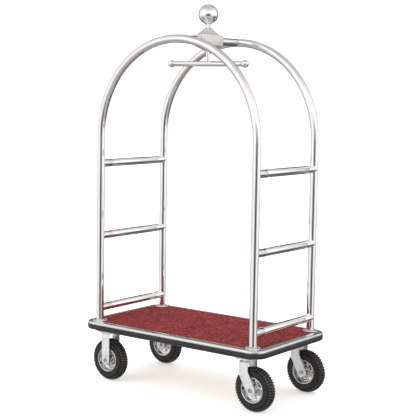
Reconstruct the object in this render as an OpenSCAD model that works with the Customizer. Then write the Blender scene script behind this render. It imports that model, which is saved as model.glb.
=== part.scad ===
// Hotel luggage cart: two bent tube arches on a carpeted deck, a crown with a ball
// finial, a hanging bar, two fixed casters at one end and two swivel casters at the
// other. Millimetres, +Z up, the floor at z = 0, +X towards the swivel casters and -Y
// the front. The origin is on the floor, in the middle of everything above it.

/* [Frame tubes] */
// Outside diameter of the frame tubes
tube_d = 38; // [32:0.5:44]
// Wall of the frame tubes
tube_wall = 1.5; // [1:0.1:3]
// Distance between the post centres along the cart
arch_span = 935; // [800:5:1100]
// Distance between the centres of the front and the back arch
arch_gap = 492; // [400:2:600]
// Height above the floor where the posts start to bend
spring_z = 1233; // [1150:5:1400]
// Height of the lower end rail above the floor
rail_low_z = 366; // [350:1:400]
// Height of the middle end rail above the floor
rail_mid_z = 731; // [600:1:800]
// Height of the upper end rail above the floor
rail_top_z = 1092; // [900:1:1150]
// Length of a rail socket outside the post
socket_l = 50; // [30:1:80]
// Length of the spigot that a socket puts into its rail
spigot_l = 25; // [15:1:40]

/* [Deck] */
// Height of the carpet's top above the floor
deck_z = 300; // [290:1:340]
// Length of the carpeted area
deck_l = 1024; // [980:2:1300]
// Width of the carpeted area
deck_w = 546; // [520:2:760]
// Corner radius of the carpeted area
corner_r = 40; // [30:1:70]
// Thickness of the carpet
carpet_t = 6; // [3:0.5:8]
// Thickness of the deck board
board_t = 18; // [12:1:20]
// Height of the deck edge from the carpet's top to the bumper's foot
edge_h = 41; // [36:1:50]
// Height of the metal nosing above the rubber bumper
nosing_h = 15; // [12:1:22]
// How far the bumper stands out past the carpet
edge_out = 27; // [20:1:34]
// Height of the steel members under the board
member_h = 25; // [20:1:28]
// Width of the steel members under the board
member_w = 40; // [30:1:44]
// Wall of the steel members
member_wall = 2; // [1.5:0.5:3]

/* [Post flanges] */
// Width of a flange outside its post
flange_out = 17; // [14:1:20]
// Thickness of a post flange
flange_t = 4; // [3:0.5:6]
// Distance from a post's wall to the flange's screws
flange_screw_out = 9.5; // [9.5:0.5:12]

/* [Crown] */
// Length of the crown block along the cart
hub_x = 80; // [60:1:100]
// Width of the crown block across the cart
hub_y = 152; // [110:1:180]
// Height of the crown block
hub_h = 50; // [46:1:60]
// Height of the roof over the crown block
roof_h = 28; // [20:1:40]
// Height of the funnel under the crown block
funnel_h = 29; // [20:1:40]
// Height of the finial's waisted neck
neck_h = 26; // [20:1:36]
// Diameter of the finial ball
ball_d = 95; // [70:1:120]
// Diameter of the tie rod through the crown
tie_d = 12; // [10:0.5:14]

/* [Hanging bar] */
// Height of the hanging bar's axis above the floor
bar_z = 1590; // [1500:1:1600]
// Distance between the centres of the bar's end knobs
bar_l = 444; // [300:2:560]
// Diameter of the hanging bar
bar_d = 25; // [20:0.5:30]
// Diameter of the end knobs
knob_d = 36; // [32:0.5:44]
// Diameter of the rod that carries the bar
rod_d = 19; // [17:0.5:24]

/* [Casters] */
// Distance from the deck's middle to the fixed casters, along the cart
fixed_x = 418; // [380:1:440]
// Distance from the deck's middle to the swivel pins, along the cart
swivel_x = 425; // [380:1:440]
// Distance from the deck's middle to the casters, across the cart
caster_y = 219; // [190:1:224]
// How far a swivel caster's axle trails behind its pin
trail = 41; // [30:1:55]
// Length of a caster plate along the cart
plate_x = 84; // [80:1:96]
// Width of a caster plate across the cart
plate_y = 105; // [100:1:106]
// Thickness of a caster plate
plate_t = 5; // [4:0.5:6]
// Spacing of the plate bolts along the cart
bolt_sx = 60; // [56:1:64]
// Spacing of the plate bolts across the cart
bolt_sy = 80; // [76:1:84]
// Thickness of the fork's bent plate
fork_t = 4; // [3:0.5:5]
// Width of a fork leg
leg_w = 48; // [40:1:52]
// Clear width between the fork legs
fork_gap = 74; // [70:1:80]
// Radius of the axle bolt and of the swivel pin
axle_r = 6; // [5:0.5:7]
// Radial running clearance of an axle in its bearing and a pin in its plate
run_gap = 0.05; // [0.02:0.01:0.09]

/* [Wheels] */
// Outside diameter of a tyre
tyre_d = 210; // [190:1:214]
// Width of a tyre
tyre_w = 58; // [50:1:60]
// Wall of a tyre
tyre_wall = 6; // [4:0.5:7]
// Outside radius of a rim's flange
rim_r = 58.5; // [56:0.5:62]
// Thickness of a rim's sheet
rim_t = 2; // [1.5:0.5:2.5]
// Outside radius of a wheel bearing
bearing_r = 16; // [14:0.5:17]
// Width of a wheel bearing
bearing_w = 10; // [8:0.5:12]
// Radius of the circle of rim bolts
rim_bolt_r = 31; // [29:0.5:33]
// How far the front left wheel has rolled at rest, in degrees
rest_roll = -27; // [-180:1:180]

/* [Hidden] */
$fn = 64;

// Clearances
seat_gap = 0.3;    // between pieces of one assembly that touch on the real cart
hole_gap = 0.3;    // round a bolt, a screw or a tube in its hole
eps = 1;           // overrun of a cut

// Heights
board_z = deck_z - carpet_t;
board_foot = board_z - board_t;
member_foot = board_foot - member_h;
plate_z = member_foot - plate_t;
arch_r = arch_span / 2;
apex_z = spring_z + arch_r;
hub_floor = 3;
hub_foot = apex_z - tube_d / 2 - hub_floor;
hub_top = hub_foot + hub_h;
roof_top = hub_top + roof_h;
funnel_foot = hub_foot - funnel_h;
ball_r = ball_d / 2;
cup_r = 16;
ball_z = roof_top + neck_h + sqrt(ball_r * ball_r - cup_r * cup_r);
wheel_z = tyre_d / 2;

// The frame's middle: the bumper's left end and the swivel tyres' right end
reach_left = -(deck_l / 2 + edge_out);
reach_right = swivel_x + trail + tyre_d / 2;
frame_x = (reach_left + reach_right) / 2;

// Wheel and fork places, in the deck's own axes
wheel_right_x = swivel_x + trail;
fork_out = fork_gap / 2 + fork_t;
race_h = 10;
crown_z = plate_z - race_h;
race_r = 30;
ball_race_r = 23;
race_ball_r = 2.5;

module placed() { translate([-frame_x, 0, 0]) children(); }
module both_ends() { for (s = [-1, 1]) translate([s * arch_span / 2, 0, 0]) children(); }
module at_posts() {
    for (sx = [-1, 1], sy = [-1, 1]) translate([sx * arch_span / 2, sy * arch_gap / 2, 0]) children();
}
module tube(d, wall, h) {
    difference() {
        cylinder(d = d, h = h);
        translate([0, 0, -eps]) cylinder(d = d - 2 * wall, h = h + 2 * eps);
    }
}
// A cylinder along Y, centred
module rod_y(d, l) { rotate([90, 0, 0]) cylinder(d = d, h = l, center = true); }
// A cylinder along X, centred
module rod_x(d, l) { rotate([0, 90, 0]) cylinder(d = d, h = l, center = true); }

function arc(cx, cy, r, a0, a1, n) =
    [for (i = [0:n]) let (a = a0 + (a1 - a0) * i / n) [cx + r * cos(a), cy + r * sin(a)]];

// Outline of a rectangle with round corners, from the arcs of its corners
function round_rect(l, w, r, n = 10) = concat(
    arc(l / 2 - r, w / 2 - r, r, 0, 90, n), arc(-l / 2 + r, w / 2 - r, r, 90, 180, n),
    arc(-l / 2 + r, -w / 2 + r, r, 180, 270, n), arc(l / 2 - r, -w / 2 + r, r, 270, 360, n));

// ---- Deck ----

module deck_slab(inset, z, t) {
    translate([0, 0, z]) linear_extrude(t)
        polygon(round_rect(deck_l - 2 * inset, deck_w - 2 * inset, corner_r - inset));
}

screw_d = 5;
screw_head_r = 5;
screw_foot = member_foot + member_wall + 4;
cross_xs = [-fixed_x - bolt_sx / 2, -fixed_x + bolt_sx / 2, 0,
    swivel_x - bolt_sx / 2, swivel_x + bolt_sx / 2];
side_y = deck_w / 2 - eps - member_w / 2;
deck_screw_xs = [for (i = [-2:2]) i * (deck_l - 300) / 4];

module at_deck_screws() {
    for (x = deck_screw_xs, s = [-1, 1]) translate([x, s * side_y, 0]) children();
}

module deck_panel() color("burlywood") placed() difference() {
    deck_slab(seat_gap, board_foot, board_t);
    at_posts() translate([0, 0, board_foot - eps])
        cylinder(d = tube_d + 2 * hole_gap, h = board_t + 2 * eps);
    at_deck_screws() {
        translate([0, 0, board_foot - eps])
            cylinder(d = screw_d + 2 * hole_gap, h = board_t + 2 * eps);
        translate([0, 0, board_z - 3 - hole_gap])
            cylinder(r = screw_head_r + hole_gap, h = 3 + hole_gap + eps);
    }
}

// The carpet is cut out round each post's flange
module carpet() color("firebrick") placed() difference() {
    deck_slab(seat_gap, board_z, carpet_t);
    at_posts() translate([0, 0, board_z - eps])
        cylinder(r = flange_r + seat_gap, h = carpet_t + 2 * eps);
}

module deck_screws() color("silver") placed() at_deck_screws() {
    translate([0, 0, screw_foot]) cylinder(d = screw_d, h = board_z - 1 - screw_foot);
    translate([0, 0, board_z - 3]) cylinder(r = screw_head_r, h = 3 - seat_gap);
}

// A closed ring round the carpeted area. Each point of the outline is [out, z].
module edge_ring(outline) {
    for (m = [0, 1]) mirror([0, m, 0]) translate([0, deck_w / 2, 0])
        rotate([90, 0, 90]) linear_extrude(deck_l - 2 * corner_r, center = true)
            polygon(outline);
    for (m = [0, 1]) mirror([m, 0, 0]) translate([deck_l / 2, 0, 0])
        rotate([90, 0, 0]) linear_extrude(deck_w - 2 * corner_r, center = true)
            polygon(outline);
    for (mx = [0, 1], my = [0, 1]) mirror([mx, 0, 0]) mirror([0, my, 0])
        translate([deck_l / 2 - corner_r, deck_w / 2 - corner_r, 0])
            rotate_extrude(angle = 90) polygon([for (p = outline) [corner_r + p[0], p[1]]]);
}

web_t = 3;
edge_foot = deck_z - edge_h;
split_z = deck_z - nosing_h;
nosing_out = edge_out - 2;

module edge_trim() color("gainsboro") placed() edge_ring(concat(
    [[0, edge_foot], [web_t, edge_foot], [web_t, split_z], [nosing_out, split_z]],
    [for (a = [10:20:90]) [nosing_out * (0.35 + 0.65 * cos(a)), split_z + nosing_h * sin(a)]],
    [[0, deck_z]]));

// The bumper's outline bulges, with two grooves along it
module bumper() color("dimgray") placed() {
    h = split_z - seat_gap - edge_foot;
    in = web_t + seat_gap;
    groove = 1.6;
    edge_ring([[in, edge_foot], [edge_out - 9, edge_foot], [edge_out - 4, edge_foot + 0.10 * h],
        [edge_out - 1.5, edge_foot + 0.26 * h], [edge_out - 1.2 - groove, edge_foot + 0.32 * h],
        [edge_out - 0.8, edge_foot + 0.38 * h], [edge_out, edge_foot + 0.60 * h],
        [edge_out - 0.2 - groove, edge_foot + 0.66 * h], [edge_out - 0.2, edge_foot + 0.72 * h],
        [edge_out - 1, edge_foot + h], [in, edge_foot + h]]);
}

module bar_tube(w, h, l) {
    difference() {
        cube([l, w, h], center = true);
        cube([l + 2 * eps, w - 2 * member_wall, h - 2 * member_wall], center = true);
    }
}
member_z = member_foot + member_h / 2;
member_l = deck_l - 2 * corner_r;
nut_af_r = 7;

module at_fixed() for (s = [-1, 1]) translate([-fixed_x, s * caster_y, 0]) children();
module at_swivel() for (s = [-1, 1]) translate([swivel_x, s * caster_y, 0]) children();
module at_plate_bolts() {
    for (sx = [-1, 1], sy = [-1, 1]) translate([sx * bolt_sx / 2, sy * bolt_sy / 2, 0]) children();
}
bolt_d = 8;
module member_cuts() {
    at_fixed() at_plate_bolts() translate([0, 0, member_foot - eps])
        cylinder(d = bolt_d + 2 * hole_gap, h = member_wall + 2 * eps);
    at_swivel() at_plate_bolts() translate([0, 0, member_foot - eps])
        cylinder(d = bolt_d + 2 * hole_gap, h = member_wall + 2 * eps);
    at_deck_screws() translate([0, 0, board_foot - member_wall - eps])
        cylinder(d = screw_d + 2 * hole_gap, h = member_wall + 2 * eps);
}

module side_members() color("dimgray") placed() difference() {
    for (s = [-1, 1]) translate([0, s * side_y, member_z]) bar_tube(member_w, member_h, member_l);
    member_cuts();
}

module cross_members() color("dimgray") placed() difference() {
    for (x = cross_xs) translate([x, 0, member_z]) rotate([0, 0, 90])
        bar_tube(member_w, member_h, 2 * (side_y - member_w / 2 - seat_gap));
    member_cuts();
}

// ---- Arches and rails ----

post_foot = board_foot;

module arch_solid(d, foot) {
    both_ends() translate([0, 0, foot]) cylinder(d = d, h = spring_z - foot);
    translate([0, 0, spring_z]) rotate([90, 0, 0])
        rotate_extrude(angle = 180, $fn = 160) translate([arch_r, 0]) circle(d = d);
}
module arch() {
    difference() {
        arch_solid(tube_d, post_foot);
        arch_solid(tube_d - 2 * tube_wall, post_foot - eps);
    }
}
module front_arch() color("silver") placed() translate([0, -arch_gap / 2, 0]) arch();
module back_arch() color("silver") placed() translate([0, arch_gap / 2, 0]) arch();

flange_r = tube_d / 2 + flange_out;
flange_screw_r = tube_d / 2 + flange_screw_out;
flange_collar_h = 4;
module at_flange_screws() {
    at_posts() for (a = [45:90:315]) rotate([0, 0, a]) translate([flange_screw_r, 0, 0]) children();
}
// A flange's foot stands on the board, and its rim lies over the edge of the nosing
module post_flanges() color("gainsboro") placed() difference() {
    union() {
        at_posts() translate([0, 0, deck_z]) {
            cylinder(r = flange_r, h = flange_t);
            translate([0, 0, flange_t])
                cylinder(r1 = tube_d / 2 + 5, r2 = tube_d / 2 + 2, h = flange_collar_h);
        }
        intersection() {
            at_posts() translate([0, 0, board_z]) cylinder(r = flange_r, h = carpet_t + eps);
            deck_slab(2 * seat_gap, board_z, carpet_t + eps);
        }
    }
    at_posts() translate([0, 0, board_z - eps]) cylinder(d = tube_d + 2 * hole_gap,
        h = carpet_t + flange_t + flange_collar_h + 2 * eps);
    at_flange_screws() translate([0, 0, board_z - eps])
        cylinder(d = flange_screw_d + 2 * hole_gap, h = carpet_t + flange_t + 2 * eps);
}

// Domed screw heads on the flanges, with a shank down to the board
flange_screw_d = 4;
module flange_screws() color("white") placed() at_flange_screws() {
    translate([0, 0, deck_z + flange_t]) rotate_extrude() polygon(concat([[0, 0]],
        [for (a = [0:15:90]) [4.5 * cos(a), 3 * sin(a)]]));
    translate([0, 0, board_z]) cylinder(d = flange_screw_d, h = carpet_t + flange_t + eps);
}

rail_zs = [rail_low_z, rail_mid_z, rail_top_z];
rail_half = arch_gap / 2 - tube_d / 2 - socket_l;

module rails(side) {
    for (z = rail_zs) translate([side * arch_span / 2, rail_half, z])
        rotate([90, 0, 0]) tube(tube_d, tube_wall, 2 * rail_half);
}
module left_rails() color("silver") placed() rails(-1);
module right_rails() color("silver") placed() rails(1);

spigot_d = tube_d - 2 * tube_wall - 2 * seat_gap;
// A socket runs from the post to the rail's end, and its spigot goes on inside the rail
module rail_sockets() color("gainsboro") placed()
    for (sx = [-1, 1], sy = [-1, 1], z = rail_zs) translate([sx * arch_span / 2, 0, z])
        mirror([0, sy < 0 ? 1 : 0, 0]) difference() {
            union() {
                translate([0, arch_gap / 2, 0]) rotate([90, 0, 0])
                    cylinder(d = tube_d, h = arch_gap / 2 - rail_half);
                translate([0, rail_half + eps, 0]) rotate([90, 0, 0])
                    cylinder(d = spigot_d, h = spigot_l + eps);
            }
            translate([0, arch_gap / 2 + eps, 0]) rotate([90, 0, 0])
                cylinder(d = spigot_d - 5, h = arch_gap / 2);
            translate([0, arch_gap / 2, -tube_d]) cylinder(d = tube_d + 2 * seat_gap, h = 2 * tube_d);
        }

// ---- Crown and finial ----

tie_hole = tie_d + 2 * hole_gap;
module tie_cut(z0, z1) translate([0, 0, z0 - eps]) cylinder(d = tie_hole, h = z1 - z0 + 2 * eps);

// A four-sided piece whose half widths follow [half x, half y, z] from its foot up
module four_sided(steps) {
    far = 2 * max([for (p = steps) max(p[0], p[1])]);
    xs = concat([for (p = steps) [p[0], p[2]]],
        [for (i = [len(steps) - 1:-1:0]) [-steps[i][0], steps[i][2]]]);
    ys = concat([for (p = steps) [p[1], p[2]]],
        [for (i = [len(steps) - 1:-1:0]) [-steps[i][1], steps[i][2]]]);
    intersection() {
        rotate([90, 0, 0]) linear_extrude(2 * far, center = true) polygon(xs);
        rotate([90, 0, 90]) linear_extrude(2 * far, center = true) polygon(ys);
    }
}

module bridge_tube() color("silver") placed() difference() {
    translate([0, 0, apex_z]) rotate([90, 0, 0]) difference() {
        cylinder(d = tube_d, h = arch_gap, center = true);
        cylinder(d = tube_d - 2 * tube_wall, h = arch_gap + 2 * eps, center = true);
    }
    for (s = [-1, 1]) translate([0, s * arch_gap / 2, spring_z]) rotate([90, 0, 0])
        rotate_extrude(angle = 180, $fn = 160) translate([arch_r, 0]) circle(d = tube_d + 2 * seat_gap);
    tie_cut(hub_foot, hub_top);
}

module crown_hub() color("lightgray") placed() difference() {
    translate([0, 0, hub_foot]) linear_extrude(hub_h) polygon(round_rect(hub_x, hub_y, 7, 6));
    translate([0, 0, apex_z]) rod_y(tube_d + 2 * seat_gap, hub_y + 2 * eps);
    tie_cut(hub_foot, hub_top);
}

roof_x = [hub_x / 2 - 10, 16];
roof_y = [hub_y / 2 - 23, 24];
module crown_roof() color("lightgray") placed() difference() {
    n = 6;
    // The half widths shrink fast at the eaves and slowly under the neck
    four_sided([for (i = [0:n]) let (u = i / n, s = pow(1 - u, 1.35))
        [roof_x[1] + (roof_x[0] - roof_x[1]) * s, roof_y[1] + (roof_y[0] - roof_y[1]) * s,
         hub_top + roof_h * u]]);
    tie_cut(hub_top, roof_top);
}

module crown_funnel() color("lightgray") placed() difference() {
    n = 6;
    four_sided([for (i = [0:n]) let (u = i / n, s = pow(u, 1.35))
        [13 + (hub_x / 2 - 2 - 13) * s, 15 + (hub_y / 2 - 4 - 15) * s,
         funnel_foot + funnel_h * u]]);
    tie_cut(funnel_foot, hub_foot);
}

tie_top = roof_top + neck_h + 12;
rod_seat = funnel_foot - 30;
module crown_tie_rod() color("silver") placed() {
    translate([0, 0, rod_seat]) cylinder(d = tie_d, h = tie_top - rod_seat);
    translate([0, 0, tie_top - 8]) cylinder(r = 9, h = 8, $fn = 6);
}

neck_spigot_r = 10;
module finial_neck() color("silver") placed() difference() {
    union() {
        translate([0, 0, roof_top]) rotate_extrude() polygon([[0, 0], [22, 0], [22, 1.2], [15, 4],
            [10, 7], [7.6, 10.5], [7.6, 14], [9, 18], [12, 21.5], [cup_r, neck_h - 1],
            [cup_r, neck_h + 0.5], [0, neck_h + 0.5]]);
        translate([0, 0, roof_top + neck_h - eps])
            cylinder(r = neck_spigot_r, h = 4);
    }
    translate([0, 0, ball_z]) difference() {
        sphere(r = ball_r + seat_gap);
        translate([0, 0, -ball_r - eps]) cylinder(r = neck_spigot_r, h = ball_r);
    }
    tie_cut(roof_top, roof_top + neck_h + 4);
}

module finial_ball() color("white") placed() translate([0, 0, ball_z]) difference() {
    sphere(r = ball_r, $fn = 96);
    sphere(r = ball_r - 1.5, $fn = 96);
    translate([0, 0, -ball_r - eps]) cylinder(r = neck_spigot_r + hole_gap, h = ball_r / 2);
}

module hanger_rod() color("silver") placed() difference() {
    translate([0, 0, bar_z]) cylinder(d = rod_d, h = funnel_foot - bar_z);
    translate([0, 0, bar_z]) rod_x(bar_d + 2 * seat_gap, 2 * rod_d);
    translate([0, 0, rod_seat - 2]) cylinder(d = tie_hole, h = funnel_foot - rod_seat + 2 + eps);
}

ferrule_l = 5;
bar_half = bar_l / 2 - knob_d / 2 - ferrule_l + 3;
module hanger_bar() color("silver") placed() translate([-bar_half, 0, bar_z])
    rotate([0, 90, 0]) tube(bar_d, tube_wall, 2 * bar_half);

module hanger_knobs() color("white") placed() for (m = [0, 1]) mirror([m, 0, 0])
    translate([0, 0, bar_z]) {
        translate([bar_l / 2, 0, 0]) sphere(d = knob_d);
        translate([bar_half, 0, 0]) rotate([0, 90, 0])
            cylinder(d1 = bar_d, d2 = bar_d - 4, h = bar_l / 2 - bar_half);
        translate([bar_half - 15, 0, 0]) rotate([0, 90, 0])
            cylinder(d = bar_d - 2 * tube_wall - 2 * seat_gap, h = 16);
    }

// ---- Caster plates, forks and pins ----

module caster_plate() {
    difference() {
        translate([0, 0, plate_z]) linear_extrude(plate_t)
            polygon(round_rect(plate_x, plate_y, 8, 5));
        at_plate_bolts() translate([0, 0, plate_z - eps])
            cylinder(d = bolt_d + 2 * hole_gap, h = plate_t + 2 * eps);
    }
}
module fixed_plates() color("lightgray") placed() at_fixed() caster_plate();

race_mid = crown_z + race_h / 2;
race_split = 1;
module race_groove() translate([0, 0, race_mid]) rotate_extrude()
    translate([ball_race_r, 0]) circle(r = race_ball_r + run_gap, $fn = 32);

// The plate and its upper race turn on the pin that the fork carries
module swivel_plates() color("lightgray") placed() at_swivel() difference() {
    union() {
        caster_plate();
        translate([0, 0, race_mid + race_split / 2])
            cylinder(r = race_r, h = race_h / 2 - race_split / 2 + eps);
    }
    race_groove();
    translate([0, 0, crown_z]) cylinder(r = axle_r + run_gap, h = race_h + plate_t + eps);
}

bolt_head_h = 5.5;
bolt_top = member_foot + member_wall + 8;
module caster_bolts() color("dimgray") placed() for (k = [0, 1])
    translate([k == 0 ? -fixed_x : swivel_x, 0, 0]) for (s = [-1, 1])
        translate([0, s * caster_y, 0]) at_plate_bolts() {
            translate([0, 0, plate_z - bolt_head_h]) cylinder(r = nut_af_r, h = bolt_head_h, $fn = 6);
            translate([0, 0, plate_z - 1]) cylinder(d = bolt_d, h = bolt_top - plate_z + 1);
            translate([0, 0, member_foot + member_wall]) cylinder(r = nut_af_r, h = 6, $fn = 6);
        }

// Outline of a fork leg seen from the side: straight down from its top, then over to
// the axle by `reach`, with a round end. The knee is where it starts to lean.
function leg_outline(reach, top, w) = let (
    knee = top - 50,
    lean = atan2(reach, knee - wheel_z),
    ox = cos(lean) * w / 2, oz = sin(lean) * w / 2)
    concat([[-w / 2, top], [-w / 2, knee - (reach > 0 ? 12 : 0)]],
        [[reach - ox, wheel_z - oz]],
        arc(reach, wheel_z, w / 2, 180 + lean + 15, 360 + lean - 15, 10),
        [[reach + ox, wheel_z + oz]],
        [[w / 2, knee + (reach > 0 ? 6 : 0)], [w / 2, top]]);

// The bent plate of a fork seen along the cart: an arch with round shoulders
function fork_arch(top) = let (ro = 14, ri = ro - fork_t, o = fork_out, i = fork_gap / 2)
    concat([[o, 0]], arc(o - ro, top - ro, ro, 0, 90, 6), arc(-o + ro, top - ro, ro, 90, 180, 6),
        [[-o, 0], [-i, 0]], arc(-i + ri, top - fork_t - ri, ri, 180, 90, 6),
        arc(i - ri, top - fork_t - ri, ri, 90, 0, 6), [[i, 0]]);

module fork(reach, top) {
    difference() {
        intersection() {
            rotate([90, 0, 90]) linear_extrude(400, center = true) polygon(fork_arch(top));
            rotate([90, 0, 0]) linear_extrude(2 * fork_out + 2 * eps, center = true)
                polygon(leg_outline(reach, top, leg_w));
        }
        translate([reach, 0, wheel_z]) rod_y(2 * (axle_r + hole_gap), 3 * fork_gap);
    }
}

module fixed_fork() fork(0, plate_z);
module fixed_fork_front() color("silver") placed() translate([-fixed_x, -caster_y, 0]) fixed_fork();
module fixed_fork_back() color("silver") placed() translate([-fixed_x, caster_y, 0]) fixed_fork();

module swivel_fork() difference() {
    union() {
        fork(trail, crown_z);
        translate([0, 0, crown_z - eps])
            cylinder(r = race_r, h = race_h / 2 - race_split / 2 + eps);
    }
    race_groove();
    translate([0, 0, crown_z - 2 * fork_t])
        cylinder(r = axle_r + hole_gap, h = race_h + 2 * fork_t);
}
module swivel_fork_front() color("silver") placed() translate([swivel_x, -caster_y, 0]) swivel_fork();
module swivel_fork_back() color("silver") placed() translate([swivel_x, caster_y, 0]) swivel_fork();

// The swivel pin: its head under the fork, its nut just clear of the plate's top
pin_nut_z = member_foot + seat_gap;
module kingpin() {
    translate([0, 0, crown_z - fork_t - 7]) cylinder(r = 9, h = 7, $fn = 6);
    translate([0, 0, crown_z - fork_t - 1]) cylinder(r = axle_r, h = pin_nut_z + 9 - crown_z + fork_t);
    translate([0, 0, pin_nut_z]) cylinder(r = 9, h = 7, $fn = 6);
}
module kingpin_front() color("dimgray") placed() translate([swivel_x, -caster_y, 0]) kingpin();
module kingpin_back() color("dimgray") placed() translate([swivel_x, caster_y, 0]) kingpin();

race_balls = 20;
module swivel_balls() for (i = [0:race_balls - 1]) rotate([0, 0, i * 360 / race_balls])
    translate([ball_race_r, 0, race_mid]) sphere(r = race_ball_r - run_gap, $fn = 24);
module swivel_balls_front() color("white") placed() translate([swivel_x, -caster_y, 0]) swivel_balls();
module swivel_balls_back() color("white") placed() translate([swivel_x, caster_y, 0]) swivel_balls();

// The axle bolt with its head, its nut and the two spacers that hold the bearings apart
hub_half = 27;
module axle() {
    rod_y(2 * axle_r, 2 * fork_out + 20);
    for (s = [-1, 1]) translate([0, s * (fork_out + 4), 0]) rotate([90, 0, 0])
        cylinder(r = 9.5, h = 8, center = true, $fn = 6);
    for (s = [-1, 1]) translate([0, s * (fork_gap / 2 + hub_half) / 2, 0])
        rod_y(2 * axle_r + 8, fork_gap / 2 - hub_half - 2 * seat_gap);
}
module at_wheel(side, row) {
    translate([side < 0 ? -fixed_x : wheel_right_x, row * caster_y, wheel_z])
        rotate([0, side < 0 && row < 0 ? rest_roll : 0, 0]) children();
}
module axle_front_left() color("silver") placed() at_wheel(-1, -1) axle();
module axle_back_left() color("silver") placed() at_wheel(-1, 1) axle();
module axle_front_right() color("silver") placed() at_wheel(1, -1) axle();
module axle_back_right() color("silver") placed() at_wheel(1, 1) axle();

// ---- Wheels, each turned about Y ----

module about_y() rotate([90, 0, 0]) rotate_extrude($fn = 96) children();

section_r = (tyre_d / 2 - rim_r + 13) / 2;
section_mid = tyre_d / 2 - section_r;
bead_a = 118;
// A point of the tyre's section at angle a from its crown, with half sizes hr and hw
function squash_c(v) = sign(v) * pow(abs(v), 0.8);
function section(a, hr, hw) = [section_mid + hr * squash_c(cos(a)), hw * squash_c(sin(a))];

module tyre() about_y() polygon(concat(
    [for (a = [-bead_a:bead_a / 12:bead_a + 0.1]) section(a, section_r, tyre_w / 2)],
    [for (a = [bead_a:-bead_a / 12:-bead_a - 0.1])
        section(a, section_r - tyre_wall, tyre_w / 2 - tyre_wall)]));

module tyre_front_left() color([0.1, 0.1, 0.1]) placed() at_wheel(-1, -1) tyre();
module tyre_back_left() color([0.1, 0.1, 0.1]) placed() at_wheel(-1, 1) tyre();
module tyre_front_right() color([0.1, 0.1, 0.1]) placed() at_wheel(1, -1) tyre();
module tyre_back_right() color([0.1, 0.1, 0.1]) placed() at_wheel(1, 1) tyre();

tube_sec_r = min(section_r, tyre_w / 2) - tyre_wall - 3;
tube_skin = 1.5;
// The valve leaves the inner tube towards the wheel's outer side, through the rim
valve_d = 7;
valve_l = 34;
valve_lean = 20;
module valve_line() translate([-(section_mid - tube_sec_r + 2), 0, 0])
    rotate([90, 0, 0]) rotate([0, valve_lean, 0]) children();

module inner_tube(row) mirror([0, row > 0 ? 1 : 0, 0]) difference() {
    union() {
        about_y() translate([section_mid, 0]) circle(r = tube_sec_r, $fn = 32);
        valve_line() cylinder(d = valve_d, h = valve_l);
    }
    about_y() translate([section_mid, 0]) circle(r = tube_sec_r - tube_skin, $fn = 32);
    valve_line() translate([0, 0, -2]) cylinder(d = 2.5, h = valve_l + 3);
}
module inner_tube_front_left() color([0.2, 0.2, 0.2]) placed() at_wheel(-1, -1) inner_tube(-1);
module inner_tube_back_left() color([0.2, 0.2, 0.2]) placed() at_wheel(-1, 1) inner_tube(1);
module inner_tube_front_right() color([0.2, 0.2, 0.2]) placed() at_wheel(1, -1) inner_tube(-1);
module inner_tube_back_right() color([0.2, 0.2, 0.2]) placed() at_wheel(1, 1) inner_tube(1);

// One half of a rim: hub sleeve, dished disc, barrel and rolled flange
barrel_r = section_mid - section_r * 0.62;
rim_half_w = tyre_w / 2 - 4;
hub_in = bearing_r + 0.1;
module rim_half() about_y() polygon([
    [hub_in, hub_half], [hub_in, hub_half - bearing_w - seat_gap],
    [hub_in - 2, hub_half - bearing_w - seat_gap], [hub_in - 2, 6], [hub_in + 4, seat_gap / 2],
    [barrel_r - 8, seat_gap / 2], [barrel_r - 2, 5], [barrel_r, 12], [barrel_r, rim_half_w - 4],
    [barrel_r + 2, rim_half_w - 1.5], [rim_r - 1, rim_half_w - 0.5], [rim_r, rim_half_w + 0.6],
    [rim_r - 1, rim_half_w + rim_t], [barrel_r + 1, rim_half_w + rim_t - 1],
    [barrel_r - rim_t, rim_half_w - 2], [barrel_r - rim_t, 12.5], [barrel_r - 3.5, 6.8],
    [barrel_r - 9, seat_gap / 2 + rim_t], [hub_in + 5, seat_gap / 2 + rim_t],
    [hub_in + 2.2, 7], [hub_in + 2.2, hub_half]]);

module at_rim_bolts() for (a = [45:90:315]) rotate([0, a, 0]) translate([rim_bolt_r, 0, 0]) children();
module rim(row) mirror([0, row > 0 ? 1 : 0, 0]) difference() {
    for (m = [0, 1]) mirror([0, m, 0]) rim_half();
    at_rim_bolts() rod_y(6 + 2 * hole_gap, 4 * rim_t);
    valve_line() translate([0, 0, -2]) cylinder(d = valve_d + 2 * hole_gap + 1, h = valve_l + 4);
}
module rim_front_left() color("white") placed() at_wheel(-1, -1) rim(-1);
module rim_back_left() color("white") placed() at_wheel(-1, 1) rim(1);
module rim_front_right() color("white") placed() at_wheel(1, -1) rim(-1);
module rim_back_right() color("white") placed() at_wheel(1, 1) rim(1);

module rim_bolts() at_rim_bolts() {
    rod_y(6, 2 * rim_t + 10);
    for (s = [-1, 1]) translate([0, s * (rim_t + seat_gap / 2 + 2.2), 0]) rotate([90, 0, 0])
        cylinder(r = 5.2, h = 4.2, center = true, $fn = 6);
}
module rim_bolts_front_left() color("gray") placed() at_wheel(-1, -1) rim_bolts();
module rim_bolts_back_left() color("gray") placed() at_wheel(-1, 1) rim_bolts();
module rim_bolts_front_right() color("gray") placed() at_wheel(1, -1) rim_bolts();
module rim_bolts_back_right() color("gray") placed() at_wheel(1, 1) rim_bolts();

module bearings() for (s = [-1, 1]) translate([0, s * (hub_half - bearing_w / 2), 0]) difference() {
    rod_y(2 * bearing_r, bearing_w);
    rod_y(2 * (axle_r + run_gap), bearing_w + 2 * eps);
}
module bearings_front_left() color("gray") placed() at_wheel(-1, -1) bearings();
module bearings_back_left() color("gray") placed() at_wheel(-1, 1) bearings();
module bearings_front_right() color("gray") placed() at_wheel(1, -1) bearings();
module bearings_back_right() color("gray") placed() at_wheel(1, 1) bearings();

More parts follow.
